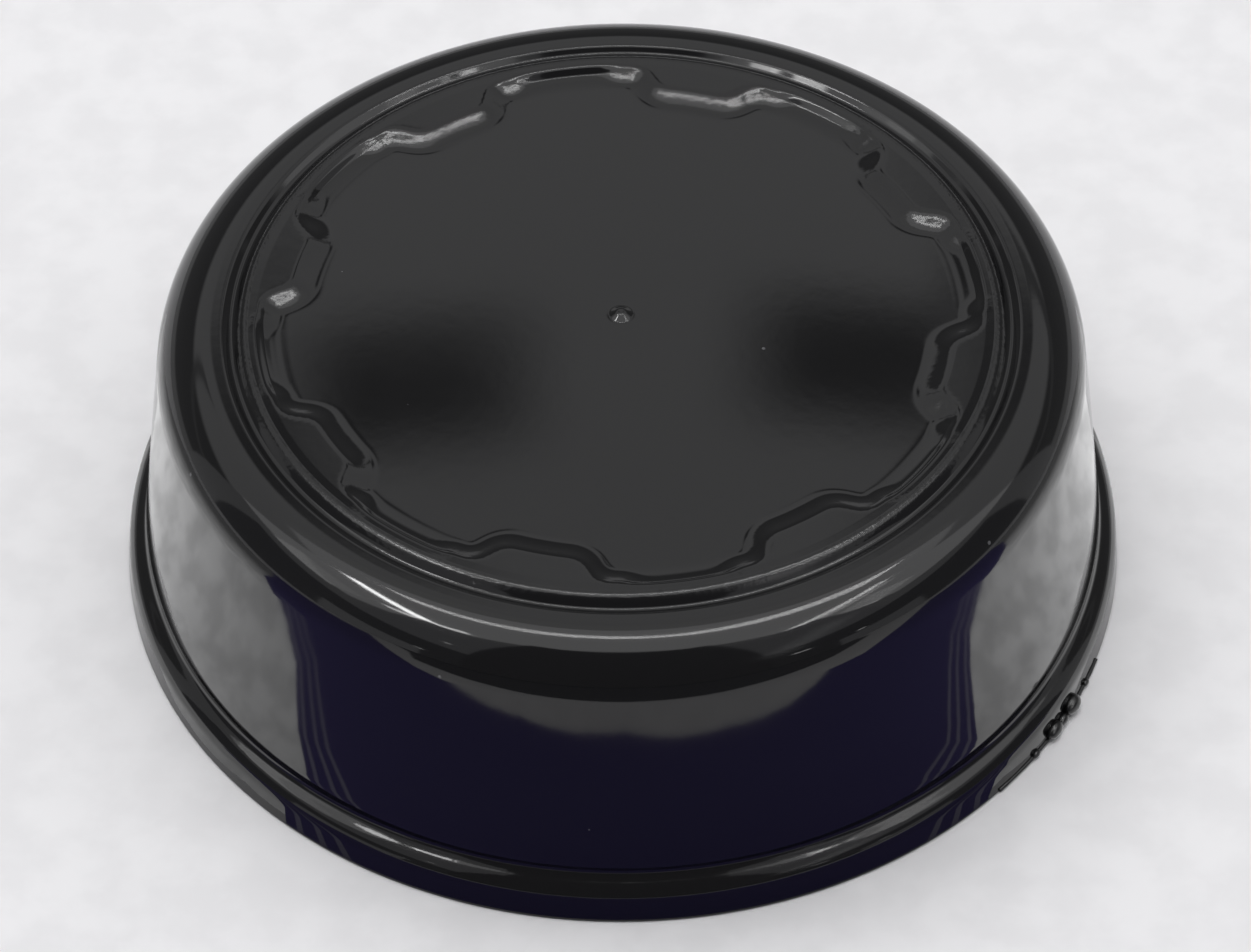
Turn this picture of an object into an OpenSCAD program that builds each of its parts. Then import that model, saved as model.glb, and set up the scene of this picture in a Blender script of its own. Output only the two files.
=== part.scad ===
// Centre cap for a pressed steel wheel: one deep-drawn cup with a flanged rim
// and a face that is stepped, ringed and embossed with inward tabs.
// Millimetres. The cap stands on its open rim, +Z runs out through the face.

/* [Rim] */
// Diameter over the turned-down lip at the open end
rim_d = 112.8; // [112:0.2:120]
// Height of the corner between lip and flange above the rim's edge
lip_h = 4; // [3:0.1:6]
// Inward lean of the lip, in degrees
lip_lean = 6; // [0:1:10]
// Slope of the flange from the seat down to the lip, in degrees
flange_slope = 30; // [0:1:40]
// Outer radius of the bend between lip and flange
rim_bend_r = 2.2; // [1.2:0.1:2.6]
// Outer radius of the bend between flange and seat
foot_bend_r = 1; // [0.6:0.1:1.2]

/* [Seat] */
// Diameter of the straight band that fits the wheel's centre hole
seat_d = 107.8; // [106:0.1:108]
// Length of the straight band
seat_l = 1.5; // [1:0.5:5]

/* [Wall] */
// Thickness of the sheet
sheet_t = 0.8; // [0.6:0.1:1]
// Height of the crown above the rim's edge
crown_h = 35.4; // [28:0.2:45]
// Inward lean of the side wall, in degrees
wall_draft = 7; // [3:0.5:9]
// Radius of the shoulder between wall and crown
shoulder_r = 6.2; // [4:0.2:7]

/* [Ring groove] */
// Flat width left on the crown, outside the groove
crown_w = 1.2; // [0.6:0.1:2]
// Radius over the crown's inner edge
crown_edge_r = 0.6; // [0.4:0.1:1]
// Width of the groove's outer side
groove_fall_w = 0.7; // [0.7:0.05:1.5]
// Depth of the groove below the crown
groove_depth = 0.55; // [0.4:0.05:0.6]
// Width of the groove's floor
groove_floor_w = 0.4; // [0.4:0.05:1]
// Radius on both sides of the groove's floor
groove_r = 0.5; // [0.2:0.05:0.5]
// Width of the groove's inner side, up to the ridge
groove_rise_w = 1.05; // [1:0.05:2]

/* [Ridge] */
// Height of the ridge above the crown
ridge_rise = 0.4; // [0.1:0.05:0.6]
// Width of the ridge's flat top
ridge_w = 1.55; // [1.2:0.05:2.4]
// Radius over the ridge's outer edge
ridge_out_r = 1; // [0.4:0.05:1]
// Radius over the ridge's inner edge
ridge_in_r = 1.2; // [0.8:0.1:1.6]
// Width of the slope between ridge and panel
ridge_slope_w = 2; // [1.6:0.05:2.6]

/* [Panel] */
// Depth of the panel's edge below the ridge
panel_drop = 0.95; // [0.7:0.05:1.2]
// Rise of the domed panel from its edge to its middle
dome_rise = 0.6; // [0.2:0.05:1.5]
// Radius where the slope meets the panel
panel_foot_r = 2; // [0.6:0.1:2.4]
// Diameter of the pip in the middle
pip_d = 2.6; // [2:0.1:4]
// Height of the pip above the panel
pip_h = 0.5; // [0.3:0.05:0.6]
// Width of the slope round the pip
pip_slope_w = 0.8; // [0.6:0.05:0.9]
// Radius over the pip
pip_r = 0.8; // [0.4:0.1:1]
// Radius where the pip meets the panel
pip_foot_r = 0.4; // [0.2:0.1:0.5]

/* [Tabs] */
// Number of embossed tabs round the ridge
tab_count = 8; // [4:1:9]
// Direction of the first tab, in degrees from +X
tab_turn = 31.5; // [0:0.5:45]
// Reach of a tab's top edge from the ridge towards the middle
tab_l = 3.2; // [2.6:0.1:6]
// Width of a tab's top at its tip
tab_tip_w = 8.6; // [6:0.1:10]
// Width of a tab's top at its root
tab_root_w = 12.8; // [11:0.1:14]
// Radius of the two corners at the tip
tab_corner_r = 1.4; // [0.8:0.1:2.4]
// Radius of the flare on each side of the root
tab_flare_r = 4; // [3.2:0.1:4.4]
// Width of the slope round a tab, from top edge to panel
tab_slope_w = 2.6; // [1.8:0.05:3]

/* [Hidden] */

// Least number of chords in a bend of the section, and the chord of a larger bend
bend_steps = 6;
bend_chord = 0.8;
// Chords in each corner of a tab's outline
corner_steps = 4;
// Rings of the domed panel, and chords along the back of a tab
dome_steps = 10;
back_steps = 4;
// Depth by which a tab's slope runs on below the skin it stands on
tab_sink = 0.25;
// Drop of a tab's flat top below the ridge, so that both skins cross cleanly
tab_under = 0.02;
// Slope of a tab in four stages: share of its width, and share of its drop
slope_stages = [[0, 0], [0.25, 0.1], [0.75, 0.9], [1, 1]];

rim_r = rim_d / 2;
seat_r = seat_d / 2;
lip_x = rim_r - lip_h * tan(lip_lean);
foot_h = lip_h + (lip_x - seat_r) * tan(flange_slope);
seat_top = foot_h + foot_bend_r * tan((90 - flange_slope) / 2) + seat_l;
shoulder_x = seat_r - (crown_h - seat_top) * tan(wall_draft);
shoulder_reach = shoulder_r * tan((90 - wall_draft) / 2);
crown_edge_reach = crown_edge_r * tan(atan(groove_depth / groove_fall_w) / 2);
crown_edge_x = shoulder_x - shoulder_reach - crown_w - crown_edge_reach;
groove_x = crown_edge_x - groove_fall_w;
ridge_out_x = groove_x - groove_floor_w - groove_rise_w;
ridge_in_x = ridge_out_x - ridge_w;
panel_edge_x = ridge_in_x - ridge_slope_w;
groove_h = crown_h - groove_depth;
ridge_h = crown_h + ridge_rise;
panel_edge_h = ridge_h - panel_drop;
panel_top_h = panel_edge_h + dome_rise;
pip_top_h = panel_top_h + pip_h;

// Half the turn of a bend shifts its corner when the line moves by one sheet
groove_rise_angle = atan((groove_depth + ridge_rise) / groove_rise_w);
ridge_slope_angle = atan(panel_drop / ridge_slope_w);
tab_slope_angle = atan(panel_drop / tab_slope_w);
tab_tip_x = ridge_in_x - tab_l;
tab_lean = (tab_root_w - tab_tip_w) / 2 / tab_l;
tab_back_x = ridge_out_x - sheet_t * tan(groove_rise_angle / 2);

function unit(v) = v / norm(v);
function cross_z(a, b) = a.x * b.y - a.y * b.x;
function left_of(v) = [-v.y, v.x];
function xy(c) = [c.x, c.y];

// Arc that rounds the corner b between a and c to radius r. With no steps given, its length sets them.
function bend(a, b, c, r, given_steps) =
  let (to_a = unit(a - b), to_c = unit(c - b), half = acos(to_a * to_c) / 2)
  r == 0 || half > 89.5 ? [b] :
  let (
    middle = b + unit(to_a + to_c) * r / sin(half),
    first = b + to_a * r / tan(half) - middle,
    sweep = (180 - 2 * half) * sign(cross_z(b - a, c - b)),
    arc_steps = max(bend_steps, round(abs(sweep) / 180 * PI * r / bend_chord)),
    steps = given_steps > 0 ? given_steps : arc_steps,
    start = atan2(first.y, first.x)
  )
  [for (k = [0 : steps]) let (t = start + sweep * k / steps) middle + r * [cos(t), sin(t)]];

// Points of an open line through corners [x, y, radius]
function rounded(corners, given_steps = 0) =
  let (last = len(corners) - 1)
  [for (i = [0 : last])
    each (i == 0 || i == last) ? [xy(corners[i])] :
      bend(xy(corners[i - 1]), xy(corners[i]), xy(corners[i + 1]), corners[i].z, given_steps)];

// The same corners moved to the left of the line by d, with radii that keep the gap even
function moved(corners, d) =
  let (last = len(corners) - 1)
  [for (i = [0 : last])
    let (
      here = xy(corners[i]),
      before = unit(i == 0 ? xy(corners[1]) - here : here - xy(corners[i - 1])),
      after = unit(i == last ? here - xy(corners[last - 1]) : xy(corners[i + 1]) - here),
      shift = (left_of(before) + left_of(after)) / (1 + before * after),
      side = sign(cross_z(before, after))
    )
    [each (here + d * shift), corners[i].z == 0 ? 0 : max(corners[i].z - side * d, 0.05)]];

// Height of the domed panel's outer skin at radius x
function dome_z(x) = panel_top_h - dome_rise * pow(x / panel_edge_x, 2);

// Outer skin of the section, from the rim's edge to the middle of the panel
outer_skin = [
  [rim_r, 0, 0],
  [lip_x, lip_h, rim_bend_r],
  [seat_r, foot_h, foot_bend_r],
  [seat_r, seat_top, 0],
  [shoulder_x, crown_h, shoulder_r],
  [crown_edge_x, crown_h, crown_edge_r],
  [groove_x, groove_h, groove_r],
  [groove_x - groove_floor_w, groove_h, groove_r],
  [ridge_out_x, ridge_h, ridge_out_r],
  [ridge_in_x, ridge_h, ridge_in_r],
  [panel_edge_x, panel_edge_h, panel_foot_r],
  for (k = [1 : dome_steps - 1])
    let (x = panel_edge_x * (1 - k / dome_steps)) [x, dome_z(x), 0],
  [pip_d / 2, dome_z(pip_d / 2), pip_foot_r],
  [pip_d / 2 - pip_slope_w, pip_top_h, pip_r],
  [0, pip_top_h, 0]
];

// Solid of revolution under a skin
module under_skin(corners) {
  rotate_extrude($fn = 180)
    polygon(concat([[0, 0]], rounded(corners)));
}

// One level of a tab's outline, with the tip moved in by grow and the root by root_in.
// x is the radius and y the length along the ridge, and both ends stay on the ridge.
function tab_corners(root_x, grow, root_in) =
  let (
    tip = tab_tip_x - grow,
    root = root_x - root_in,
    flank = grow * norm([1, tab_lean]) + tab_tip_w / 2 - tab_lean * tab_tip_x,
    tip_y = flank + tab_lean * tip,
    root_y = flank + tab_lean * root,
    far_y = root_y + 2 * tab_flare_r,
    flare = max(tab_flare_r - grow, 0.3),
    corner = max(tab_corner_r + grow, 0.3)
  )
  [
    [root, -far_y, 0],
    [root, -root_y, flare],
    [tip, -tip_y, corner],
    [tip, tip_y, corner],
    [root, root_y, flare],
    [root, far_y, 0]
  ];

// Rounds that level, drops the two ends that lie buried in the ridge and closes it along the ridge
function tab_outline(corners) =
  let (
    line = rounded(corners, corner_steps),
    last = len(line) - 1,
    end_y = line[2].y
  )
  [
    for (i = [2 : last - 2]) line[i],
    for (k = [0 : back_steps]) [tab_back_x, end_y * (2 * k / back_steps - 1)]
  ];

// Wraps a flat outline round the cap's axis
function wrapped(p) = let (t = p.y / ridge_in_x * 180 / PI) p.x * [cos(t), sin(t)];

// Drafted block of one tab under a skin that lies depth below the outer one
module tab_block(depth) {
  inset = depth * tan(tab_slope_angle / 2);
  root_x = (ridge_in_x + depth * tan(ridge_slope_angle / 2) + tab_back_x) / 2;
  drop = panel_drop + tab_sink;
  root_in = drop / tan(ridge_slope_angle);
  top_z = ridge_h - tab_under - depth;
  levels = [for (s = slope_stages)
    tab_outline(tab_corners(root_x, s.x * tab_slope_w - inset, s.y * root_in))];
  n = len(levels[0]);
  top = len(levels) - 1;
  points = [for (j = [0 : top]) each [for (p = levels[j])
    [each wrapped(p), top_z - slope_stages[j].y * drop]]];
  fan = len(points);
  polyhedron(
    points = concat(points, [[root_x, 0, top_z], [root_x - root_in, 0, top_z - drop]]),
    faces = concat(
      [for (j = [0 : top - 1]) for (i = [0 : n - 1]) let (a = j * n + i, b = j * n + (i + 1) % n)
        each [[a, b + n, b], [a, a + n, b + n]]],
      [for (i = [0 : n - 1]) [i, (i + 1) % n, fan]],
      [for (i = [0 : n - 1]) [top * n + (i + 1) % n, top * n + i, fan + 1]]
    )
  );
}

module tab_ring(depth) {
  for (k = [0 : tab_count - 1])
    rotate(tab_turn + k * 360 / tab_count) tab_block(depth);
}

// Everything under the skin that lies depth inside the outer one
module pressed_form(depth) {
  under_skin(moved(outer_skin, depth));
  tab_ring(depth);
}

module cap_shell() {
  color([0.05, 0.05, 0.055])
    difference() {
      pressed_form(0);
      pressed_form(sheet_t);
    }
}

cap_shell();
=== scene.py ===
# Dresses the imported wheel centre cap: gloss black enamel over one pressed shell.
import bpy
from math import acos, atan, atan2, ceil, cos, degrees, hypot, pi, radians, sin, tan
from mathutils import Matrix, Vector


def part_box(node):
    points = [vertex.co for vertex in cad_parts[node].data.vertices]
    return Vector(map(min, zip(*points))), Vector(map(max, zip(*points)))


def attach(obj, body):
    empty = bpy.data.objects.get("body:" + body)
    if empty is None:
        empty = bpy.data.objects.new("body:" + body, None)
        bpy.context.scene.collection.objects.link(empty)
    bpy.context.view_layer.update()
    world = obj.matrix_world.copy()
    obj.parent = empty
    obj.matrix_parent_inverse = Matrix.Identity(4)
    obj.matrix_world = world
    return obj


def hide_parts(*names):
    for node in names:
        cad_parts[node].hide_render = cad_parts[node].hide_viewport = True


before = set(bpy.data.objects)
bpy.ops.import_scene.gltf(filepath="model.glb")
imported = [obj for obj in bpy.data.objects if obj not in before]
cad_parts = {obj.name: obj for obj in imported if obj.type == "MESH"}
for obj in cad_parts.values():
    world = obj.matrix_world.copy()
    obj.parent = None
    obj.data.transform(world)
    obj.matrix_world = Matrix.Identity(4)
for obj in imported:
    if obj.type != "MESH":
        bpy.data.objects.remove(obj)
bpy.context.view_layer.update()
capLow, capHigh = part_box("cap_shell")
mm = 0.001
print("frame loaded, cap", [round(v / mm, 2) for v in capHigh - capLow], "mm")


# Small helpers for node trees
def addNode(tree, kind, inputs=None, **settings):
    node = tree.nodes.new(kind)
    for key, value in settings.items():
        setattr(node, key, value)
    for key, value in (inputs or {}).items():
        if isinstance(value, bpy.types.NodeSocket):
            tree.links.new(value, node.inputs[key])
        else:
            node.inputs[key].default_value = value
    return node


def calc(tree, operation, *values):
    node = addNode(tree, "ShaderNodeMath", dict(enumerate(values)), operation=operation)
    return node.outputs[0]


def ramp(tree, value, low, high, start=0.0, end=1.0, soft=True):
    kind = "SMOOTHSTEP" if soft else "LINEAR"
    node = addNode(tree, "ShaderNodeMapRange",
                   {"Value": value, "From Min": low, "From Max": high, "To Min": start, "To Max": end},
                   interpolation_type=kind)
    return node.outputs["Result"]


def newTree(name, kind, inputs, outputs):
    tree = bpy.data.node_groups.new(name, kind)
    for label, socket in inputs.items():
        tree.interface.new_socket(label, in_out="INPUT", socket_type="NodeSocket" + socket)
    for label, socket in outputs.items():
        tree.interface.new_socket(label, in_out="OUTPUT", socket_type="NodeSocket" + socket)
    start = tree.nodes.new("NodeGroupInput")
    end = tree.nodes.new("NodeGroupOutput")
    return tree, start.outputs, end.inputs


# A tree's result as a plain mesh on an object at the origin
def growPiece(name, carrierMesh, tree, values):
    piece = bpy.data.objects.new(name, carrierMesh)
    bpy.context.scene.collection.objects.link(piece)
    modifier = piece.modifiers.new("shape", "NODES")
    modifier.node_group = tree
    for socket in tree.interface.items_tree:
        if socket.in_out == "INPUT" and socket.name in values:
            modifier[socket.identifier] = values[socket.name]
    evaluated = piece.evaluated_get(bpy.context.evaluated_depsgraph_get())
    mesh = bpy.data.meshes.new_from_object(evaluated)
    piece.modifiers.remove(modifier)
    mesh.name = name
    piece.data = mesh
    print(name, len(mesh.vertices), "points,", len(mesh.polygons), "faces")
    return piece


def clearEmptySlots(piece):
    while piece.data.materials and piece.data.materials[0] is None:
        piece.data.materials.pop(index=0)


# Enamel, lengths in metres
enamel = {
    "colour": (0.0026, 0.0026, 0.003),
    "roughness": 0.05,
    "roughnessSpread": 0.03,
    "ior": 1.5,
    "cloudScale": 45.0,         # clouds of a little more roughness
    "cloudRange": (0.3, 0.7),
    "insideRoughness": 0.34,
    "dropRoughness": 0.22,
    "creaseRoughness": 0.1,
    "peelScale": 620,           # bumps per metre
    "peelHeight": 2.2e-6,
    "rimPeel": 3.5,             # times rougher on the flange and the lip
    "rimHeight": 0.0065,
    "rimFade": 0.001,
    "creaseScale": 1500,
    "creaseHeight": 4e-5,
    "speckScale": 260,
    "speckSize": 0.05,          # share of a cell's size, before a random part
    "speckLeast": 0.4,
    "speckShare": 0.05,
    "speckColour": (0.09, 0.09, 0.095),
}


def orangePeelGroup():
    tree, given, out = newTree("orangePeel", "ShaderNodeTree",
                               {"Scale": "Float", "Depth": "Float"}, {"Height": "Float"})
    place = addNode(tree, "ShaderNodeTexCoord").outputs["Object"]
    wave = addNode(tree, "ShaderNodeTexNoise",
                   {"Vector": place, "Scale": given["Scale"], "Detail": 2.0, "Roughness": 0.45})
    tree.links.new(calc(tree, "MULTIPLY", wave.outputs["Fac"], given["Depth"]), out["Height"])
    return tree


def speckGroup():
    tree, given, out = newTree("specks", "ShaderNodeTree",
                               {"Scale": "Float", "Size": "Float", "Share": "Float"}, {"Mask": "Float"})
    place = addNode(tree, "ShaderNodeTexCoord").outputs["Object"]
    cells = addNode(tree, "ShaderNodeTexVoronoi", {"Vector": place, "Scale": given["Scale"]})
    shade = addNode(tree, "ShaderNodeSeparateColor", {"Color": cells.outputs["Color"]})
    chosen = calc(tree, "LESS_THAN", shade.outputs["Red"], given["Share"])
    growth = calc(tree, "ADD", shade.outputs["Green"], enamel["speckLeast"])
    radius = calc(tree, "MULTIPLY", given["Size"], growth)
    dot = calc(tree, "LESS_THAN", cells.outputs["Distance"], radius)
    tree.links.new(calc(tree, "MULTIPLY", chosen, dot), out["Mask"])
    return tree


orangePeel = orangePeelGroup()
specks = speckGroup()


def addGroup(tree, group, **inputs):
    node = tree.nodes.new("ShaderNodeGroup")
    node.node_tree = group
    for key, value in inputs.items():
        node.inputs[key].default_value = value
    return node


def gradeColour(tree, mask, first, second):
    mix = addNode(tree, "ShaderNodeMix", {0: mask}, data_type="RGBA")
    mix.inputs[6].default_value = (*first, 1)
    mix.inputs[7].default_value = (*second, 1)
    return mix.outputs[2]


def enamelMaterial(name, creased):
    material = bpy.data.materials.new(name)
    material.use_nodes = True
    tree = material.node_tree
    shader = tree.nodes["Principled BSDF"]
    place = addNode(tree, "ShaderNodeTexCoord").outputs["Object"]

    cloud = addNode(tree, "ShaderNodeTexNoise",
                    {"Vector": place, "Scale": enamel["cloudScale"], "Detail": 3.0})
    roughness = ramp(tree, cloud.outputs["Fac"], *enamel["cloudRange"],
                     enamel["roughness"], enamel["roughness"] + enamel["roughnessSpread"])
    peel = addGroup(tree, orangePeel, Scale=enamel["peelScale"], Depth=1.0)
    rise = addNode(tree, "ShaderNodeSeparateXYZ", {"Vector": place}).outputs["Z"]
    onRim = ramp(tree, rise, enamel["rimHeight"], enamel["rimHeight"] + enamel["rimFade"],
                 enamel["rimPeel"], 1.0)
    even = calc(tree, "MULTIPLY", peel.outputs["Height"], enamel["peelHeight"])
    height = calc(tree, "MULTIPLY", even, onRim)
    dust = addGroup(tree, specks, Scale=enamel["speckScale"], Size=enamel["speckSize"],
                    Share=enamel["speckShare"])

    if creased:
        crease = addNode(tree, "ShaderNodeAttribute", attribute_name="crease").outputs["Fac"]
        inside = addNode(tree, "ShaderNodeAttribute", attribute_name="inside").outputs["Fac"]
        grit = addGroup(tree, orangePeel, Scale=enamel["creaseScale"], Depth=1.0)
        gritHeight = calc(tree, "MULTIPLY", grit.outputs["Height"],
                          calc(tree, "MULTIPLY", crease, enamel["creaseHeight"]))
        height = calc(tree, "ADD", height, gritHeight)
        roughness = calc(tree, "ADD", roughness, calc(tree, "MULTIPLY", crease, enamel["creaseRoughness"]))
        roughness = calc(tree, "ADD", roughness, calc(tree, "MULTIPLY", inside, enamel["insideRoughness"]))

    else:
        roughness = calc(tree, "ADD", roughness, enamel["dropRoughness"])

    colour = gradeColour(tree, dust.outputs["Mask"], enamel["colour"], enamel["speckColour"])
    bump = addNode(tree, "ShaderNodeBump", {"Height": height, "Distance": 1.0, "Strength": 1.0})
    tree.links.new(colour, shader.inputs["Base Color"])
    tree.links.new(roughness, shader.inputs["Roughness"])
    tree.links.new(bump.outputs["Normal"], shader.inputs["Normal"])
    shader.inputs["IOR"].default_value = enamel["ior"]
    return material


capEnamel = enamelMaterial("capEnamel", creased=True)
beadEnamel = enamelMaterial("beadEnamel", creased=False)


# Section of the pressed shell, in millimetres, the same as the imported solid's
cap = {
    "rimRadius": (capHigh.y - capLow.y) / 2 / mm,
    "lipHeight": 4, "lipLean": 6, "flangeSlope": 30, "rimBend": 2.2, "footBend": 1, "lipBend": 0.22,
    "seatRadius": 53.9, "seatLength": 1.5, "sheet": 0.8,
    "crownHeight": 35.4, "wallDraft": 7, "shoulderBend": 6.2,
    "crownWidth": 1.2, "crownEdgeBend": 0.6,
    "grooveFall": 0.7, "grooveDepth": 0.55, "grooveFloor": 0.4, "grooveBend": 0.5, "grooveRise": 1.05,
    "ridgeRise": 0.4, "ridgeWidth": 1.55, "ridgeOutBend": 1, "ridgeInBend": 0.7, "ridgeSlope": 0.8,
    "panelDrop": 0.95, "domeRise": 0.6, "panelBend": 0.4, "rollRise": 0.28, "rollWidth": 2.5,
    "pipDiameter": 2.6, "pipHeight": 0.5, "pipSlope": 0.8, "pipBend": 0.8, "pipFootBend": 0.4,
    "tabs": 8, "tabTurn": 31.5, "tabReach": 3.2, "tabTip": 8.6, "tabRoot": 12.8,
    "tabCorner": 2, "tabFlare": 4, "tabSlope": 2.6,
    # rounded top, straight middle and long foot of a tab's slope
    "tabBrow": 0.7, "tabRun": 0.85, "tabFoot": 2.1,
    "columns": 456,             # points round the shell, a multiple of the tabs
    "gather": 0.5,              # how far the points gather at the sides of the tabs
    "bendTurn": 9, "bendChord": 0.65, "bendLeast": 0.05, "tabBendTurn": 6, "coarse": 4,
    "guard": 0.3,               # extra ring this far from each bend
    "tabRing": 0.3, "tabZone": 32.2, "plainRing": 3.6, "wallRing": 7,
    "tabDip": 1.2,              # how far a tab's top falls towards its tip, in degrees
    "tabCrease": 0.3,           # how gritty the tabs' sides are, the ridge being 1
    "creaseHalf": 0.3, "creaseEdge": 0.7,       # gritty strip along the ridge's outer edge
    "sideMiddle": 0.45, "sideHalf": 0.3, "sideEdge": 0.45,      # and on a tab's side, as shares of its fall
    "waveHeight": 0.03, "waveScale": 38, "waveSeed": 3.7,
}
mergeGap = 1e-7

lipX = cap["rimRadius"] - cap["lipHeight"] * tan(radians(cap["lipLean"]))
footTop = cap["lipHeight"] + (lipX - cap["seatRadius"]) * tan(radians(cap["flangeSlope"]))
seatTop = footTop + cap["footBend"] * tan(radians(90 - cap["flangeSlope"]) / 2) + cap["seatLength"]
shoulderX = cap["seatRadius"] - (cap["crownHeight"] - seatTop) * tan(radians(cap["wallDraft"]))
shoulderReach = cap["shoulderBend"] * tan(radians(90 - cap["wallDraft"]) / 2)
crownEdgeReach = cap["crownEdgeBend"] * tan(atan(cap["grooveDepth"] / cap["grooveFall"]) / 2)
crownEdgeX = shoulderX - shoulderReach - cap["crownWidth"] - crownEdgeReach
grooveX = crownEdgeX - cap["grooveFall"]
ridgeOutX = grooveX - cap["grooveFloor"] - cap["grooveRise"]
ridgeInX = ridgeOutX - cap["ridgeWidth"]
panelEdgeX = ridgeInX - cap["ridgeSlope"]
grooveTop = cap["crownHeight"] - cap["grooveDepth"]
ridgeTop = cap["crownHeight"] + cap["ridgeRise"]
panelEdgeTop = ridgeTop - cap["panelDrop"]
panelTop = panelEdgeTop + cap["domeRise"]
pipTop = panelTop + cap["pipHeight"]
tabAngle = atan(cap["panelDrop"] / cap["tabSlope"])
tabInset = cap["sheet"] * tan(tabAngle / 2)
grooveRiseAngle = atan((cap["grooveDepth"] + cap["ridgeRise"]) / cap["grooveRise"])
tabBackX = ridgeOutX - cap["sheet"] * tan(grooveRiseAngle / 2)
tabRootX = (ridgeInX + tabBackX) / 2


def turnOf(a, b):
    return a.x * b.y - a.y * b.x


# Arc of the given radius in the corner b between a and c, turning by about turnStep degrees at a time
def bend(a, b, c, radius, turnStep):
    toA, toC = (a - b).normalized(), (c - b).normalized()
    half = acos(max(-1, min(1, toA.dot(toC)))) / 2
    if radius == 0 or half > radians(89.5):
        return [b.copy()]
    middle = b + (toA + toC).normalized() * radius / sin(half)
    first = b + toA * radius / tan(half) - middle
    sweep = (pi - 2 * half) * (1 if turnOf(b - a, c - b) > 0 else -1)
    count = max(3, round(abs(sweep) * radius / cap["bendChord"]), round(degrees(abs(sweep)) / turnStep))
    start = atan2(first.y, first.x)
    turns = [start + sweep * k / count for k in range(count + 1)]
    return [middle + radius * Vector((cos(t), sin(t))) for t in turns]


# Corners (x, z, bend) moved to the left of the line, so that the sheet keeps its thickness
def moved(corners, distance):
    points = [Vector(c[:2]) for c in corners]
    found = []
    for i, here in enumerate(points):
        before = (here - points[i - 1] if i else points[1] - here).normalized()
        after = (points[i + 1] - here if i < len(points) - 1 else here - points[i - 1]).normalized()
        shift = (before.orthogonal() + after.orthogonal()) / (1 + before.dot(after))
        side = turnOf(before, after)
        radius = corners[i][2]
        if radius and 0 < i < len(points) - 1:
            radius = max(radius - (distance if side > 0 else -distance), cap["bendLeast"])
        place = here + distance * shift
        found.append((place.x, place.y, radius))
    return found


# The panel's dome, rolled up a little along its edge
def domeHeight(x):
    roll = max(0, 1 - (panelEdgeX - x) / cap["rollWidth"]) ** 2
    return panelTop - cap["domeRise"] * (x / panelEdgeX) ** 2 + cap["rollRise"] * roll


def stopsBetween(start, end, gap):
    count = max(1, ceil(abs(end - start) / gap))
    return [start + (end - start) * k / count for k in range(count)]


# Corners of the outer skin, from the rim's edge to the middle, with the dome's rings coarse times wider apart
def outerSkin(coarse):
    pipFootX = cap["pipDiameter"] / 2
    domeEdge, domeEnd = panelEdgeX - cap["panelBend"], pipFootX + cap["pipSlope"]
    dome = (stopsBetween(domeEdge, cap["tabZone"], cap["tabRing"] * coarse)
            + stopsBetween(cap["tabZone"], domeEnd, cap["plainRing"] * coarse))
    return [
        (cap["rimRadius"], 0, cap["lipBend"]),
        (lipX, cap["lipHeight"], cap["rimBend"]),
        (cap["seatRadius"], footTop, cap["footBend"]),
        (cap["seatRadius"], seatTop, 0),
        (shoulderX, cap["crownHeight"], cap["shoulderBend"]),
        (crownEdgeX, cap["crownHeight"], cap["crownEdgeBend"]),
        (grooveX, grooveTop, cap["grooveBend"]),
        (grooveX - cap["grooveFloor"], grooveTop, cap["grooveBend"]),
        (ridgeOutX, ridgeTop, cap["ridgeOutBend"]),
        (ridgeInX, ridgeTop, cap["ridgeInBend"]),
        (panelEdgeX, domeHeight(panelEdgeX), cap["panelBend"]),
        *[(x, domeHeight(x), 0) for x in dome],
        (pipFootX, domeHeight(pipFootX), cap["pipFootBend"]),
        (pipFootX - cap["pipSlope"], pipTop, cap["pipBend"]),
        (0, pipTop, 0),
    ]


# Rings from the middle of the face, over the rim and back under the face: radius, depth, height
def sectionRings():
    outer = [(*c, 0) for c in outerSkin(1)]
    inner = [(*c, cap["sheet"]) for c in moved(outerSkin(cap["coarse"]), cap["sheet"])]
    innerEdgeX = cap["rimRadius"] - cap["sheet"] / cos(radians(cap["lipLean"]))
    inner[0] = (innerEdgeX, 0, cap["lipBend"], cap["sheet"])
    corners = outer[::-1] + inner
    line = [(Vector(corners[0][:2]), 0, 0)]
    for number, (last, here, after) in enumerate(zip(corners, corners[1:], corners[2:]), 1):
        a, b, c = (Vector(corner[:2]) for corner in (last, here, after))
        step = cap["bendTurn"] * (cap["coarse"] if here[3] else 1)
        line += [(p, here[3], number if here[2] else 0) for p in bend(a, b, c, here[2], step)]
    line.append((Vector(corners[-1][:2]), cap["sheet"], 0))

    # straight runs between bends get a ring close to each bend, and the rest at even gaps
    rings = [line[0][:2]]
    for (a, depthA, bendA), (b, depthB, bendB) in zip(line, line[1:]):
        length = (b - a).length
        if bendA != bendB and length > 2 * cap["guard"] and depthA == depthB:
            onTabs = cap["tabZone"] < min(a.x, b.x) and max(a.x, b.x) < ridgeInX
            gap = (cap["tabRing"] if onTabs else cap["wallRing"]) * (cap["coarse"] if depthA else 1)
            near = cap["guard"] if bendA else 0
            far = length - (cap["guard"] if bendB else 0)
            stops = ([near] if bendA else []) + stopsBetween(near, far, gap)[1:] + ([far] if bendB else [])
            rings += [(a.lerp(b, stop / length), depthA) for stop in stops]
        rings.append((b, depthB))
    return [(p.x * mm, depth * mm, p.y * mm) for p, depth in rings]


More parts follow.
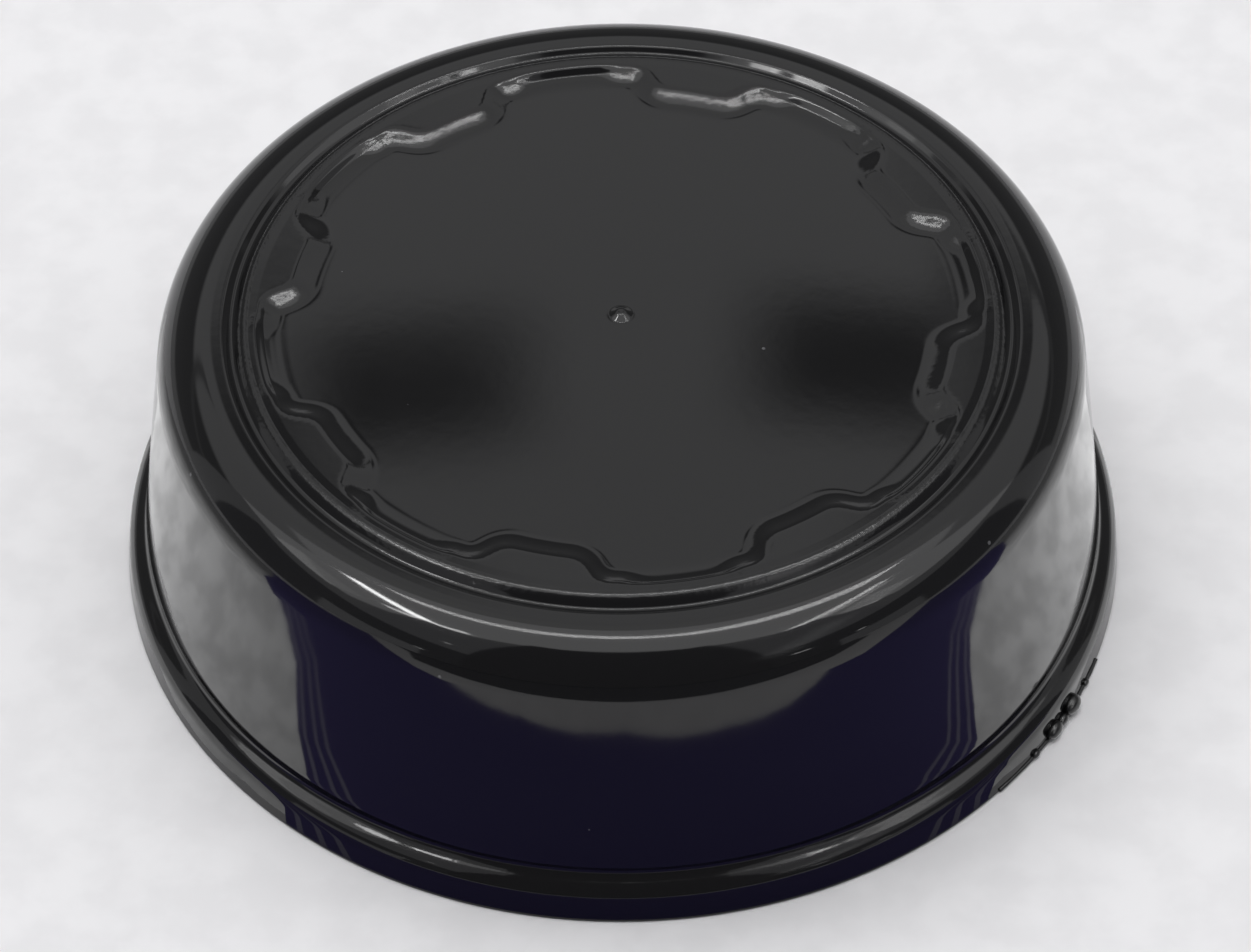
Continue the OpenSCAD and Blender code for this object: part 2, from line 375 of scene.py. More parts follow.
# Flat outline of one tab's top, x along the radius and y along the ridge
def tabTopMesh():
    lean = (cap["tabRoot"] - cap["tabTip"]) / 2 / cap["tabReach"]
    tipX = ridgeInX - cap["tabReach"] + tabInset
    flank = cap["tabTip"] / 2 - lean * (ridgeInX - cap["tabReach"]) - tabInset * hypot(1, lean)
    tipY, rootY = flank + lean * tipX, flank + lean * tabRootX
    farY = rootY + 2 * (cap["tabFlare"] + tabInset)
    corner, flare = cap["tabCorner"] - tabInset, cap["tabFlare"] + tabInset
    corners = [
        (tabRootX, -farY, 0), (tabRootX, -rootY, flare), (tipX, -tipY, corner),
        (tipX, tipY, corner), (tabRootX, rootY, flare), (tabRootX, farY, 0),
    ]
    line = []
    for i in range(1, len(corners) - 1):
        a, b, c = (Vector(corners[i + k][:2]) for k in (-1, 0, 1))
        line += bend(a, b, c, corners[i][2], cap["tabBendTurn"])
    half = len(line) // 2
    points = [(p.x * mm, p.y * mm, 0) for p in line]
    mesh = bpy.data.meshes.new("tabTop")
    strips = [(i, i + 1, len(line) - 2 - i, len(line) - 1 - i) for i in range(half - 1)]
    mesh.from_pydata(points, [], strips)
    return mesh


# How far down a slope is, from 0 to 1: a rounded brow, a straight run and a long foot
def slopeGroup():
    tree, given, out = newTree("slopeFall", "GeometryNodeTree", {
        "Off": "Float", "Brow": "Float", "Run": "Float", "Foot": "Float",
    }, {"Fall": "Float"})
    off, brow, run, foot = (given[name] for name in ("Off", "Brow", "Run", "Foot"))

    def within(value, top):
        return calc(tree, "MINIMUM", calc(tree, "MAXIMUM", value, 0.0), top)

    onBrow = within(off, brow)
    pastBrow = calc(tree, "SUBTRACT", off, brow)
    onRun = within(pastBrow, run)
    onFoot = within(calc(tree, "SUBTRACT", pastBrow, run), foot)
    left = calc(tree, "SUBTRACT", 1.0, calc(tree, "DIVIDE", onFoot, foot))
    browFall = calc(tree, "DIVIDE", calc(tree, "MULTIPLY", onBrow, onBrow), calc(tree, "MULTIPLY", brow, 2.0))
    footFall = calc(tree, "MULTIPLY", calc(tree, "DIVIDE", foot, 2.0),
                    calc(tree, "SUBTRACT", 1.0, calc(tree, "MULTIPLY", left, left)))
    fallen = calc(tree, "ADD", calc(tree, "ADD", browFall, onRun), footFall)
    whole = calc(tree, "ADD", calc(tree, "DIVIDE", calc(tree, "ADD", brow, foot), 2.0), run)
    tree.links.new(calc(tree, "DIVIDE", fallen, whole), out["Fall"])
    return tree


# Offset inwards along the normal, by up to the given height
def sunkByNoise(tree, place, seed, scale, height):
    wave = addNode(tree, "ShaderNodeTexNoise", {"Vector": place, "W": seed, "Scale": scale, "Detail": 1.0},
                   noise_dimensions="4D").outputs["Fac"]
    normal = addNode(tree, "GeometryNodeInputNormal").outputs[0]
    inwards = calc(tree, "MULTIPLY", wave, calc(tree, "MULTIPLY", height, -1))
    return addNode(tree, "ShaderNodeVectorMath", {0: normal, "Scale": inwards}, operation="SCALE").outputs[0]


# The shell: rings turned round the axis, with the tabs raised on the way
def shellTree():
    tree, given, out = newTree("pressedShell", "GeometryNodeTree", {
        "Geometry": "Geometry", "Columns": "Int", "Gather": "Float", "Tabs": "Int", "Tab Turn": "Float",
        "Tab Top": "Object", "Tab Brow": "Float", "Tab Run": "Float", "Tab Foot": "Float",
        "Tab Angle": "Float", "Tab Root": "Float",
        "Ridge Radius": "Float", "Ridge Edge": "Float", "Ridge Top": "Float", "Sheet": "Float",
        "Tab Crease": "Float", "Tab Dip": "Float",
        "Wave Height": "Float", "Wave Scale": "Float", "Seed": "Float", "Material": "Material",
    }, {"Geometry": "Geometry"})
    rings = given["Geometry"]
    ringCount = addNode(tree, "GeometryNodeAttributeDomainSize", {"Geometry": rings}).outputs["Point Count"]
    across = calc(tree, "ADD", given["Columns"], 1)
    grid = addNode(tree, "GeometryNodeMeshGrid", {"Vertices X": ringCount, "Vertices Y": across})

    index = addNode(tree, "GeometryNodeInputIndex").outputs[0]
    ring = calc(tree, "FLOOR", calc(tree, "DIVIDE", index, across))
    column = calc(tree, "SUBTRACT", index, calc(tree, "MULTIPLY", ring, across))
    place = addNode(tree, "GeometryNodeInputPosition").outputs[0]
    picked = addNode(tree, "GeometryNodeSampleIndex", {"Geometry": rings, "Value": place, "Index": ring},
                     data_type="FLOAT_VECTOR")
    ringPoint = addNode(tree, "ShaderNodeSeparateXYZ", {"Vector": picked.outputs[0]})
    radius, depth, height = ringPoint.outputs

    # even steps round the axis, drawn together where the sides of the tabs are
    step = calc(tree, "DIVIDE", 2 * pi, given["Columns"])
    even = calc(tree, "MULTIPLY", column, step)
    halfPitch = calc(tree, "DIVIDE", pi, given["Tabs"])
    beat = calc(tree, "SINE", calc(tree, "MULTIPLY", even, calc(tree, "MULTIPLY", given["Tabs"], 2)))
    pull = calc(tree, "DIVIDE", calc(tree, "MULTIPLY", halfPitch, given["Gather"]), 2 * pi)
    swing = calc(tree, "ADD", even, calc(tree, "MULTIPLY", beat, pull))
    turn = calc(tree, "ADD", swing, given["Tab Turn"])
    fromTab = calc(tree, "WRAP", swing, halfPitch, calc(tree, "MULTIPLY", halfPitch, -1))
    along = calc(tree, "MULTIPLY", fromTab, given["Ridge Radius"])

    # distance from the tab's top, measured on the unrolled ridge
    topShape = addNode(tree, "GeometryNodeObjectInfo", {"Object": given["Tab Top"]}).outputs["Geometry"]
    flatPlace = addNode(tree, "ShaderNodeCombineXYZ", {"X": radius, "Y": along}).outputs[0]
    nearTop = addNode(tree, "GeometryNodeProximity", {0: topShape, 2: flatPlace}, target_element="FACES")
    lag = calc(tree, "MULTIPLY", calc(tree, "SUBTRACT", given["Sheet"], depth),
               calc(tree, "TANGENT", calc(tree, "DIVIDE", given["Tab Angle"], 2)))
    off = calc(tree, "SUBTRACT", nearTop.outputs["Distance"], lag)
    fall = addNode(tree, "GeometryNodeGroup", node_tree=slopeGroup())
    for socket, value in zip(fall.inputs, (off, given["Tab Brow"], given["Tab Run"], given["Tab Foot"])):
        tree.links.new(value, socket)
    fall = fall.outputs[0]
    pastRoot = calc(tree, "LESS_THAN", radius, given["Tab Root"])
    share = calc(tree, "MULTIPLY", pastRoot, calc(tree, "SUBTRACT", 1.0, fall))
    fromRidge = calc(tree, "MAXIMUM", 0.0, calc(tree, "SUBTRACT", given["Ridge Radius"], radius))
    level = calc(tree, "SUBTRACT", given["Ridge Top"], calc(tree, "MULTIPLY", fromRidge, given["Tab Dip"]))
    missing = calc(tree, "SUBTRACT", calc(tree, "SUBTRACT", level, depth), height)
    lift = calc(tree, "MULTIPLY", share, calc(tree, "MAXIMUM", 0.0, missing))
    raised = calc(tree, "ADD", height, lift)

    spot = addNode(tree, "ShaderNodeCombineXYZ", {
        "X": calc(tree, "MULTIPLY", radius, calc(tree, "COSINE", turn)),
        "Y": calc(tree, "MULTIPLY", radius, calc(tree, "SINE", turn)),
        "Z": raised,
    }).outputs[0]

    # where the enamel looks gritty: on the ridge's outer edge and the sides of the tabs
    fromEdge = calc(tree, "ABSOLUTE", calc(tree, "SUBTRACT", radius, given["Ridge Edge"]))
    onRidge = ramp(tree, fromEdge, cap["creaseHalf"] * mm, cap["creaseEdge"] * mm, 1.0, 0.0)
    fromMiddle = calc(tree, "ABSOLUTE", calc(tree, "SUBTRACT", fall, cap["sideMiddle"]))
    onSide = ramp(tree, fromMiddle, cap["sideHalf"], cap["sideEdge"], given["Tab Crease"], 0.0)
    onTab = calc(tree, "MULTIPLY", pastRoot, onSide)
    crease = calc(tree, "MAXIMUM", onRidge, onTab)

    marked = grid.outputs["Mesh"]
    onInside = calc(tree, "GREATER_THAN", depth, cap["sheet"] / 2 * mm)
    for name, value in (("crease", crease), ("inside", onInside)):
        marked = addNode(tree, "GeometryNodeStoreNamedAttribute",
                         {"Geometry": marked, "Name": name, "Value": value}, domain="POINT").outputs[0]
    shaped = addNode(tree, "GeometryNodeSetPosition", {"Geometry": marked, "Position": spot}).outputs[0]
    closed = addNode(tree, "GeometryNodeMergeByDistance",
                     {"Geometry": shaped, "Distance": mergeGap}).outputs[0]

    # the sheet isn't quite true: it waves inwards by hundredths of a millimetre
    sink = sunkByNoise(tree, place, given["Seed"], given["Wave Scale"], given["Wave Height"])
    waved = addNode(tree, "GeometryNodeSetPosition", {"Geometry": closed, "Offset": sink}).outputs[0]

    smooth = addNode(tree, "GeometryNodeSetShadeSmooth", {"Geometry": waved}).outputs[0]
    real = addNode(tree, "GeometryNodeRealizeInstances", {"Geometry": smooth}).outputs[0]
    painted = addNode(tree, "GeometryNodeSetMaterial",
                      {"Geometry": real, "Material": given["Material"]}).outputs[0]
    tree.links.new(painted, out["Geometry"])
    return tree


def makeShell():
    rings = bpy.data.meshes.new("capRings")
    rings.from_pydata(sectionRings(), [], [])
    print("section of", len(rings.vertices), "rings")
    tabTop = bpy.data.objects.new("tabTop", tabTopMesh())
    bpy.context.scene.collection.objects.link(tabTop)
    piece = growPiece("enamelled_cap", rings, shellTree(), {
        "Columns": cap["columns"], "Gather": cap["gather"], "Tabs": cap["tabs"],
        "Tab Turn": radians(cap["tabTurn"]), "Tab Top": tabTop, "Tab Brow": cap["tabBrow"] * mm,
        "Tab Run": cap["tabRun"] * mm, "Tab Foot": cap["tabFoot"] * mm, "Tab Angle": tabAngle,
        "Tab Root": tabRootX * mm, "Tab Crease": cap["tabCrease"],
        "Tab Dip": tan(radians(cap["tabDip"])),
        "Ridge Radius": ridgeInX * mm, "Ridge Edge": ridgeOutX * mm, "Ridge Top": ridgeTop * mm,
        "Sheet": cap["sheet"] * mm, "Wave Height": cap["waveHeight"] * mm,
        "Wave Scale": float(cap["waveScale"]), "Seed": cap["waveSeed"], "Material": capEnamel,
    })
    bpy.data.objects.remove(tabTop)
    clearEmptySlots(piece)
    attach(piece, "root")
    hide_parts("cap_shell")
    return piece


makeShell()


# Drops of dried enamel on the edge of the lip, and a thin dark strand along the lip's lower edge
beads = {
    # azimuth, radius, height and half length of each drop
    "drops": [(-28.75, 56.5, 1.1, 1.5), (-33, 56.5, 1.0, 1.35), (4.5, 55.9, 2.0, 0.4),
              (-24.6, 56.45, 0.5, 0.6), (-36.8, 56.45, 0.55, 0.7), (-31, 56.5, 0.75, 1.0)],
    "dropShape": (0.62, 1.0, 0.68),
    "strandStart": -43.5, "strandEnd": -20.75, "strandRadius": 56.35, "strandHeight": 0.34, "strandThick": 0.28,
    "bumpHeight": 0.12, "bumpScale": 900, "bumpSeed": 1.3,
    "dropCuts": 4, "strandSteps": 90, "strandSides": 14,
}


def beadTree():
    tree, given, out = newTree("driedDrops", "GeometryNodeTree", {
        "Geometry": "Geometry", "Strand Radius": "Float", "Strand Height": "Float", "Strand Thickness": "Float",
        "Strand Start": "Float", "Strand Sweep": "Float", "Bump Height": "Float", "Bump Scale": "Float",
        "Seed": "Float", "Material": "Material",
    }, {"Geometry": "Geometry"})
    place = addNode(tree, "GeometryNodeInputPosition").outputs[0]
    spot = addNode(tree, "ShaderNodeSeparateXYZ", {"Vector": place})
    azimuth = calc(tree, "ARCTAN2", spot.outputs["Y"], spot.outputs["X"])
    facing = addNode(tree, "ShaderNodeCombineXYZ", {"Z": azimuth}).outputs[0]
    size = addNode(tree, "GeometryNodeInputNamedAttribute", {"Name": "halfLength"},
                   data_type="FLOAT").outputs[0]
    stretch = addNode(tree, "ShaderNodeVectorMath", {0: beads["dropShape"], "Scale": size},
                      operation="SCALE").outputs[0]
    ball = addNode(tree, "GeometryNodeMeshIcoSphere",
                   {"Radius": 1.0, "Subdivisions": beads["dropCuts"]}).outputs["Mesh"]
    drops = addNode(tree, "GeometryNodeInstanceOnPoints", {
        "Points": given["Geometry"], "Instance": ball, "Rotation": facing, "Scale": stretch}).outputs[0]

    # thin dark strand of black enamel along the lip's lower edge, lifted a little off the table
    arc = addNode(tree, "GeometryNodeCurveArc", {
        "Resolution": beads["strandSteps"], "Radius": given["Strand Radius"], "Start Angle": given["Strand Start"],
        "Sweep Angle": given["Strand Sweep"]}).outputs["Curve"]
    outline = addNode(tree, "GeometryNodeCurvePrimitiveCircle",
                      {"Resolution": beads["strandSides"], "Radius": given["Strand Thickness"]}).outputs["Curve"]
    run = addNode(tree, "GeometryNodeCurveToMesh",
                  {"Curve": arc, "Profile Curve": outline, "Fill Caps": True}).outputs[0]
    rise = addNode(tree, "ShaderNodeCombineXYZ", {"Z": given["Strand Height"]}).outputs[0]
    lifted = addNode(tree, "GeometryNodeTransform", {"Geometry": run, "Translation": rise}).outputs[0]

    joined = tree.nodes.new("GeometryNodeJoinGeometry")
    tree.links.new(lifted, joined.inputs[0])
    tree.links.new(drops, joined.inputs[0])
    real = addNode(tree, "GeometryNodeRealizeInstances", {"Geometry": joined.outputs[0]}).outputs[0]
    sink = sunkByNoise(tree, place, given["Seed"], given["Bump Scale"], given["Bump Height"])
    bumped = addNode(tree, "GeometryNodeSetPosition", {"Geometry": real, "Offset": sink}).outputs[0]
    smooth = addNode(tree, "GeometryNodeSetShadeSmooth", {"Geometry": bumped}).outputs[0]
    painted = addNode(tree, "GeometryNodeSetMaterial",
                      {"Geometry": smooth, "Material": given["Material"]}).outputs[0]
    tree.links.new(painted, out["Geometry"])
    return tree


def makeBeads():
    centres = [(r * mm * cos(radians(a)), r * mm * sin(radians(a)), z * mm)
               for a, r, z, size in beads["drops"]]
    carrier = bpy.data.meshes.new("dropCentres")
    carrier.from_pydata(centres, [], [])
    sizes = carrier.attributes.new("halfLength", "FLOAT", "POINT")
    for item, (a, r, z, size) in zip(sizes.data, beads["drops"]):
        item.value = size * mm
    piece = growPiece("dried_drops", carrier, beadTree(), {
        "Strand Radius": beads["strandRadius"] * mm, "Strand Height": beads["strandHeight"] * mm,
        "Strand Thickness": beads["strandThick"] * mm, "Strand Start": radians(beads["strandStart"]),
        "Strand Sweep": radians(beads["strandEnd"] - beads["strandStart"]), "Bump Height": beads["bumpHeight"] * mm,
        "Bump Scale": float(beads["bumpScale"]), "Seed": beads["bumpSeed"], "Material": beadEnamel,
    })
    clearEmptySlots(piece)
    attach(piece, "root")
    return piece


makeBeads()


# Studio: pale floor, a lit ceiling with lamps, dark lower walls and a navy cloth in front.
# The camera sees only the floor, and the rest shows in the enamel.
studio = {
    "floorColour": (0.765, 0.76, 0.77), "floorLight": (0.81, 0.805, 0.815), "floorSize": 12.0,
    "floorMottle": 140.0, "mottleRange": (0.35, 0.65),
    "worldColour": (0.56, 0.56, 0.57),
    "ceilingHeight": 4.0, "wallDistance": 4.0, "nearDistance": 3.8,
    "wallSteps": 24, "backWallSteps": 48, "nearSteps": 6,
    "daylight": (1, 1, 1.01), "white": (1, 1, 1),
    "mattRoughness": 0.9, "mattSpecular": 0.1,
}


def glowMaterial(name, colour, strength=1.0):
    material = bpy.data.materials.new(name)
    material.use_nodes = True
    tree = material.node_tree
    tree.nodes.clear()
    glow = addNode(tree, "ShaderNodeEmission", {"Color": (*colour, 1), "Strength": strength})
    end = tree.nodes.new("ShaderNodeOutputMaterial")
    tree.links.new(glow.outputs[0], end.inputs["Surface"])
    return material


def mattMaterial(name, colour):
    material = bpy.data.materials.new(name)
    material.use_nodes = True
    shader = material.node_tree.nodes["Principled BSDF"]
    shader.inputs["Base Color"].default_value = (*colour, 1)
    shader.inputs["Roughness"].default_value = studio["mattRoughness"]
    shader.inputs["Specular IOR Level"].default_value = studio["mattSpecular"]
    return material


# Cloth-like mottling, from 0 to 1
def mottleGroup():
    tree, given, out = newTree("mottle", "ShaderNodeTree", {"Scale": "Float"}, {"Value": "Float"})
    place = addNode(tree, "ShaderNodeTexCoord").outputs["Object"]
    broad = addNode(tree, "ShaderNodeTexNoise", {"Vector": place, "Scale": given["Scale"], "Detail": 4.0})
    tree.links.new(ramp(tree, broad.outputs["Fac"], *studio["mottleRange"]), out["Value"])
    return tree


mottle = mottleGroup()


def stageSheet(name, points, faces, material, camera=False, diffuse=True):
    mesh = bpy.data.meshes.new(name)
    mesh.from_pydata(points, [], faces)
    mesh.materials.append(material)
    card = bpy.data.objects.new(name, mesh)
    bpy.context.scene.collection.objects.link(card)
    card.visible_camera = camera
    card.visible_diffuse = diffuse
    card.visible_shadow = camera


def makeFloor():
    half = studio["floorSize"] / 2
    corners = [(-half, -half, 0), (half, -half, 0), (half, half, 0), (-half, half, 0)]
    pale = mattMaterial("floorPale", studio["floorColour"])
    tree = pale.node_tree
    spots = addGroup(tree, mottle, Scale=studio["floorMottle"])
    colour = gradeColour(tree, spots.outputs["Value"], studio["floorColour"], studio["floorLight"])
    tree.links.new(colour, tree.nodes["Principled BSDF"].inputs["Base Color"])
    stageSheet("floor", corners, [(0, 1, 2, 3)], pale, camera=True)


# Lit shapes on the ceiling that also light the floor: outline, colour and brightness.
# A point of an outline is its angles from straight up, to the right and to the back, in degrees.
ceilings = {
    "ceilingMain": ([(-46, -16), (46, -16), (50, 18), (-46, 18)], studio["daylight"], 1.5),
    "ceilingBack": ([(-46, 18.1), (50, 18.1), (40, 33), (-40, 33)], studio["white"], 0.85),
}

# Lamps that only the enamel shows: outline and brightness
lamps = {
    "blockLeft": ([(-48, -12), (-38, -12), (-38, 6), (-48, 6)], 2.6),
    "blockRight": ([(32, -18), (42, -18), (42, -6), (32, -6)], 4.5),
    "tubeLeft": ([(-27.0, -22), (-24.4, -22), (-25.8, 7.5), (-28.4, 7.5)], 32),
    "tubeRight": ([(22.4, -22), (25.0, -22), (28.2, 5), (25.6, 5)], 32),
    "tubeRightDim": ([(25.4, -20), (27.4, -20), (31, 2), (28.8, 2)], 8),
    "lampLeft": ([(-33, -9.4), (-33, -12.6), (-21.5, -18.2), (-21, -15)], 12),
    "lampRight": ([(34.5, -24), (39, -24), (40, -57), (34.5, -57)], 15),
    "barTop": ([(-17, 11), (-8, 6), (6, 6), (13, 8), (20, 11), (20, 19), (11, 15.5), (4, 10.5),
                (-4, 11.5), (-11, 13), (-17, 16.5)], 24),
}

# Cards on the walls: azimuth, lowest and highest elevation at one end, the same at the other, and colour
walls = {
    "wallLeft": ((172, -3, 37), (210, -3, 31), (0.2, 0.2, 0.21)),
    "wallLeftNear": ((210, -3, 31), (236, -3, 27), (0.19, 0.19, 0.2)),
    "wallRight": ((300, -3, 26), (367, -3, 36), (0.18, 0.18, 0.19)),
    "cornerLeft": ((206, 31, 60), (236, 28, 60), (0.52, 0.52, 0.54)),
    "cornerRight": ((301, 26, 60), (332, 30, 60), (0.5, 0.5, 0.52)),
    "frontDark": ((236, -3, 68), (301, -3, 68), (0.155, 0.152, 0.16)),
}

# Cards before the walls that only the enamel shows
skirts = {
    "skirtLeft": ((203, -3, 15), (227, -3, 11), (0.62, 0.62, 0.64)),
    "skirtRight": ((316, -3, 11), (336, -3, 14), (0.52, 0.52, 0.54)),
}

# Small bright spots there: azimuth, elevation, width and height in degrees
sparks = {
    "glow": 6,
    "spots": [(228.8, 36, 1.6, 0.8), (226.4, 10.5, 2.2, 0.9), (321.5, 13.6, 1.8, 0.8),
              (307.9, 15.3, 4.0, 0.8)],
}


def ceilingPoint(right, back):
    away = hypot(right, back)
    reach = studio["ceilingHeight"] * tan(radians(away)) / away
    return (right * reach, back * reach, studio["ceilingHeight"])


def ceilingCard(name, outline, material, diffuse):
    points = [ceilingPoint(*p) for p in outline]
    stageSheet(name, points, [tuple(range(len(points)))], material, diffuse=diffuse)


# A curved card between two upright ends
def wallCard(name, ends, material, reach, steps, diffuse=True):
    (azimuthA, lowA, highA), (azimuthB, lowB, highB) = ends
    points = []
    for k in range(steps + 1):
        share = k / steps
        azimuth = radians(azimuthA + (azimuthB - azimuthA) * share)
        for elevation in (lowA + (lowB - lowA) * share, highA + (highB - highA) * share):
            away, rise = reach * cos(radians(elevation)), reach * sin(radians(elevation))
            points.append((away * cos(azimuth), away * sin(azimuth), rise))
    faces = [(2 * k, 2 * k + 1, 2 * k + 3, 2 * k + 2) for k in range(steps)]
    stageSheet(name, points, faces, material, diffuse=diffuse)


# The back wall: lighter above, dark below, with two soft dark patches and two dark arms falling to the sides.
# Sides and elevations are in degrees, with sides counted to the right of straight back.
backWall = {
    "ends": ((20, -3, 57), (160, -3, 57)),
    "high": 0.78, "low": 0.2, "lowTop": 38.5, "lowEdge": 4.0, "base": 0.5, "baseTop": 12, "baseEdge": 6,
    "patchGlow": 0.15, "patchHalf": (1.4, 0.5), "patchEdge": (3.6, 2.2),
    "patches": ((-6.1, 47.2), (7.0, 46.6)),
    "armGlow": 0.3, "armHalf": 0.7, "armEdge": 1.0, "armFade": 1,
    "arms": {-1.0: (24, 46, 68, 21.5), 1.0: (9, 44, 62, 26.5)},     # side and elevation at both ends
}


def backWallMaterial():
    material = glowMaterial("backWall", studio["daylight"])
    tree = material.node_tree
    place = addNode(tree, "ShaderNodeTexCoord").outputs["Object"]
    x, y, z = addNode(tree, "ShaderNodeSeparateXYZ", {"Vector": place}).outputs
    away = calc(tree, "SQRT", calc(tree, "ADD", calc(tree, "MULTIPLY", x, x), calc(tree, "MULTIPLY", y, y)))
    elevation = calc(tree, "DEGREES", calc(tree, "ARCTAN2", z, away))
    side = calc(tree, "DEGREES", calc(tree, "ARCTAN2", x, y))

    def nearTo(value, middle, half, edge):
        off = calc(tree, "ABSOLUTE", calc(tree, "SUBTRACT", value, middle))
        return ramp(tree, off, half, half + edge, 1.0, 0.0)

    def fadeTo(level, glow, mask):
        return addNode(tree, "ShaderNodeMix", {0: mask, 2: level, 3: glow}, data_type="FLOAT").outputs[0]

    high = ramp(tree, elevation, backWall["lowTop"] - backWall["lowEdge"], backWall["lowTop"],
                backWall["low"], backWall["high"])
    base = ramp(tree, elevation, backWall["baseTop"] - backWall["baseEdge"], backWall["baseTop"],
                backWall["base"], 0.0)
    level = calc(tree, "MAXIMUM", high, base)
    halfSide, halfRise = backWall["patchHalf"]
    edgeSide, edgeRise = backWall["patchEdge"]
    for middleSide, middleRise in backWall["patches"]:
        mask = calc(tree, "MULTIPLY", nearTo(side, middleSide, halfSide, edgeSide),
                    nearTo(elevation, middleRise, halfRise, edgeRise))
        level = fadeTo(level, backWall["patchGlow"], mask)
    for sign, (start, top, end, bottom) in backWall["arms"].items():
        outward = calc(tree, "MULTIPLY", side, sign)
        line = ramp(tree, outward, start, end, top, bottom, soft=False)
        begun = ramp(tree, outward, start - backWall["armFade"], start + backWall["armFade"])
        onLine = nearTo(elevation, line, backWall["armHalf"], backWall["armEdge"])
        level = fadeTo(level, backWall["armGlow"], calc(tree, "MULTIPLY", begun, onLine))
    tree.links.new(level, tree.nodes["Emission"].inputs["Strength"])
    return material


def makeRoom():
    world = bpy.data.worlds.new("room")
    world.use_nodes = True
    world.node_tree.nodes["Background"].inputs["Color"].default_value = (*studio["worldColour"], 1)
    bpy.context.scene.world = world

    for name, (outline, colour, glow) in ceilings.items():
        ceilingCard(name, outline, glowMaterial(name, colour, glow), diffuse=True)
    for name, (outline, glow) in lamps.items():
        ceilingCard(name, outline, glowMaterial(name, studio["white"], glow), diffuse=False)

    for name, (*ends, colour) in walls.items():
        wallCard(name, ends, glowMaterial(name, colour), studio["wallDistance"], studio["wallSteps"])
    wallCard("backWall", backWall["ends"], backWallMaterial(), studio["wallDistance"],
             studio["backWallSteps"])
    for name, (*ends, colour) in skirts.items():
        wallCard(name, ends, glowMaterial(name, colour), studio["nearDistance"], studio["nearSteps"],
                 diffuse=False)
    for k, (azimuth, rise, wide, high) in enumerate(sparks["spots"]):
        name = "spark%d" % k
        ends = [(azimuth + wide / 2 * sign, rise, rise + high) for sign in (-1, 1)]
        glow = glowMaterial(name, studio["white"], sparks["glow"])
        wallCard(name, ends, glow, studio["nearDistance"], studio["nearSteps"], diffuse=False)


# What lies on the table, mirrored in the cap's wall and rim: outlines, widths and lifts in millimetres
table = {
    "clothBack": [(-400, -105), (-184, -62), (-112, -42), (-75, -37), (-69, -41), (-62, -43.4), (-44, -43),
                  (0, -41), (40, -40), (46, -37.8), (52, -38.5), (60, -38.8), (66, -38.3), (71, -35.5),
                  (77, -31), (84, -29), (110, -28), (189, -34), (400, -70)],
    "clothFront": [(459, -217), (100, -84), (62, -70), (41, -76), (24, -82), (0, -87), (-25, -84),
                   (-46, -78), (-62, -84), (-120, -122), (-566, -431)],
    "clothColour": (0.105, 0.088, 0.26), "clothLift": 0.4,
    "hemBack": [(-80, -37), (-69, -41), (-62, -43.4), (-44, -43), (-20, -42.5), (20, -41.5), (40, -40),
                (46, -37.8), (52, -38.5), (60, -38.8), (66, -38.3), (71, -35.5), (76, -32)],
    "hemInsets": (0.9, 2.9, 4.7), "hemWidth": 0.6, "hemColour": (0.36, 0.34, 0.48), "hemLift": 0.5,
    "endBack": [(-400, -420), (-110, -135), (-56, -110), (-30, -103), (0, -101), (30, -103), (56, -108),
                (100, -125), (400, -330)],
    "endFront": [(4000, -3500), (-4000, -3500)], "endColour": (0.13, 0.13, 0.14), "tableLift": 0.3,
    "sideOutline": [(57, 14), (58, 0), (57.4, -10), (54, -20), (49, -29), (43, -38), (37, -44), (75, -60),
                    (400, -120), (400, 120), (90, 60)],
    "sideGlow": {"tableLeft": (-1, 1.28), "tableRight": (1, 1.35)},
    "shadowFade": (57, 70, 0.72), "farFade": (80, 190, 0.35),       # from, to, share of the light left
    "mottleScale": 160.0, "mottleShare": (0.86, 1.1),
}


# Lit table beside the cap: duller in the cap's shadow and far away
def tableGlow(name, strength):
    material = glowMaterial(name, studio["daylight"])
    tree = material.node_tree
    place = addNode(tree, "ShaderNodeTexCoord").outputs["Object"]
    away = addNode(tree, "ShaderNodeVectorMath", {0: place}, operation="LENGTH").outputs["Value"]
    shadowFrom, shadowTo, shadowShare = table["shadowFade"]
    farFrom, farTo, farShare = table["farFade"]
    near = ramp(tree, away, shadowFrom * mm, shadowTo * mm, shadowShare, 1.0)
    far = ramp(tree, away, farFrom * mm, farTo * mm, 1.0, farShare)
    spots = addGroup(tree, mottle, Scale=table["mottleScale"])
    least, most = (strength * share for share in table["mottleShare"])
    texture = ramp(tree, spots.outputs["Value"], 0.0, 1.0, least, most, soft=False)
    level = calc(tree, "MULTIPLY", texture, calc(tree, "MULTIPLY", near, far))
    tree.links.new(level, tree.nodes["Emission"].inputs["Strength"])
    return material


def tablePatch(name, outline, material, lift):
    points = [(x * mm, y * mm, lift * mm) for x, y in outline]
    stageSheet(name, points, [tuple(range(len(points)))], material, diffuse=False)


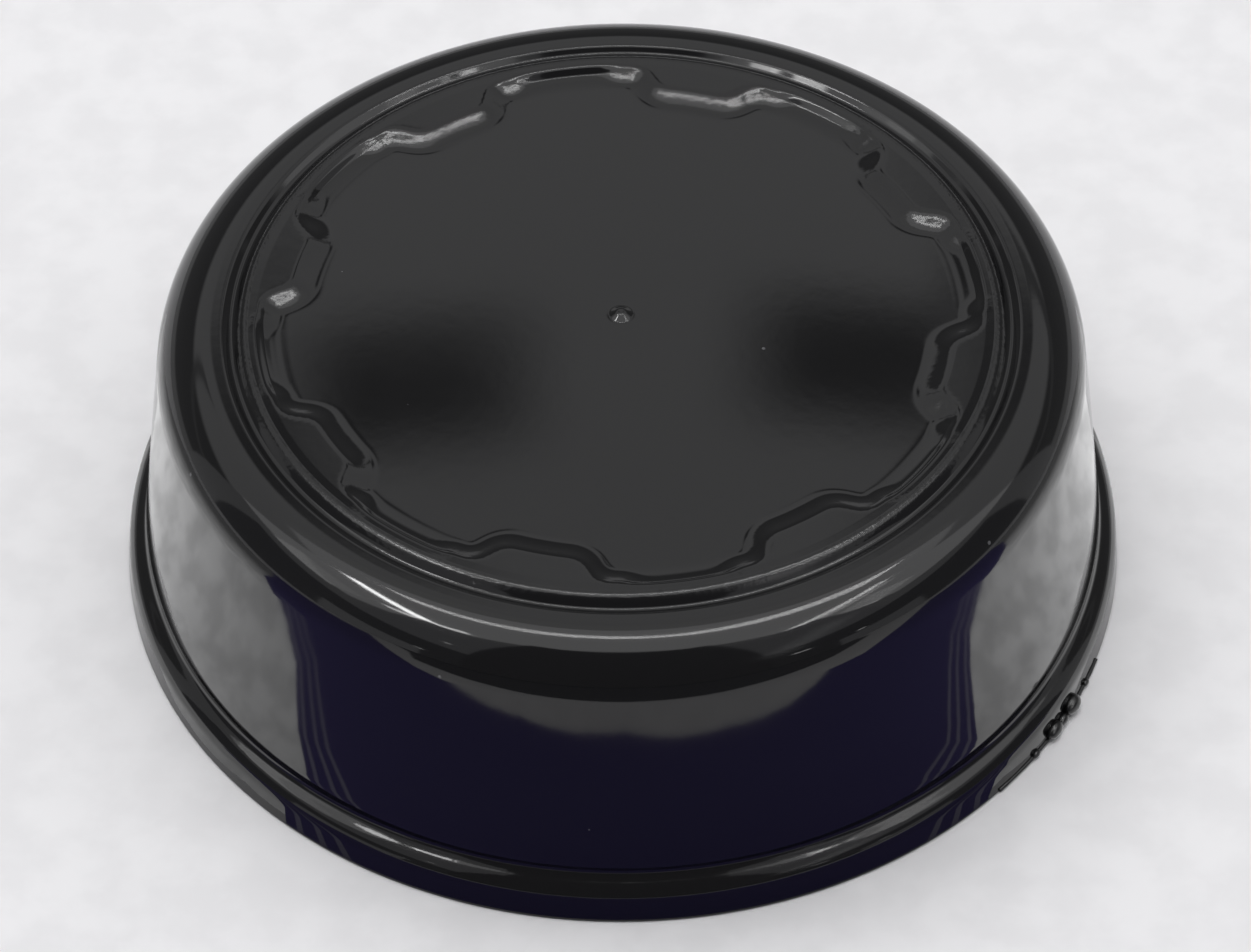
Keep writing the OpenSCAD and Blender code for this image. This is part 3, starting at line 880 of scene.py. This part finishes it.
def makeTable():
    cloth = mattMaterial("navyCloth", table["clothColour"])
    tablePatch("navyCloth", table["clothBack"] + table["clothFront"], cloth, table["clothLift"])
    for k, inset in enumerate(table["hemInsets"]):
        name = "hemLine%d" % k
        line = [(x, y - inset) for x, y in table["hemBack"]]
        other = [(x, y - table["hemWidth"]) for x, y in reversed(line)]
        tablePatch(name, line + other, mattMaterial(name, table["hemColour"]), table["hemLift"])
    end = mattMaterial("tableEnd", table["endColour"])
    tablePatch("tableEnd", table["endBack"] + table["endFront"], end, table["tableLift"])
    for name, (sign, strength) in table["sideGlow"].items():
        outline = [(x * sign, y) for x, y in table["sideOutline"]]
        tablePatch(name, outline, tableGlow(name, strength), table["tableLift"])


# Soft lamp that gives the cap its shadow
key = {"energy": 17, "size": 1.6, "place": (-0.3, 0.4, 2.0)}


def makeKeyLamp():
    light = bpy.data.lights.new("softKey", "AREA")
    light.energy = key["energy"]
    light.size = key["size"]
    lamp = bpy.data.objects.new("softKey", light)
    lamp.location = key["place"]
    lamp.rotation_euler = Vector(key["place"]).to_track_quat("Z", "Y").to_euler()
    lamp.visible_glossy = False
    lamp.visible_camera = False
    bpy.context.scene.collection.objects.link(lamp)


makeFloor()
makeRoom()
makeTable()
makeKeyLamp()
print("studio set up")


# Camera at the photograph's angle: degrees, millimetres, clip distances in metres
view = {
    "elevation": 47.062, "roll": 0.4234, "distance": 578.04, "aim": (0.352, 0, 9.46),
    "focal": 147.21, "sensor": 36, "clip": (0.01, 60),
}


def makeCamera():
    lens = bpy.data.cameras.new("camera")
    lens.lens = view["focal"]
    lens.sensor_width = view["sensor"]
    lens.clip_start, lens.clip_end = view["clip"]
    camera = bpy.data.objects.new("camera", lens)
    rise = radians(view["elevation"])
    back = Vector((0, -cos(rise), sin(rise)))
    turned = back.to_track_quat("Z", "Y").to_matrix() @ Matrix.Rotation(radians(-view["roll"]), 3, "Z")
    place = (Vector(view["aim"]) + back * view["distance"]) * mm
    camera.matrix_world = Matrix.Translation(place) @ turned.to_4x4()
    bpy.context.scene.collection.objects.link(camera)
    bpy.context.scene.camera = camera


makeCamera()
bpy.context.scene.view_settings.view_transform = "Standard"
print("camera placed")
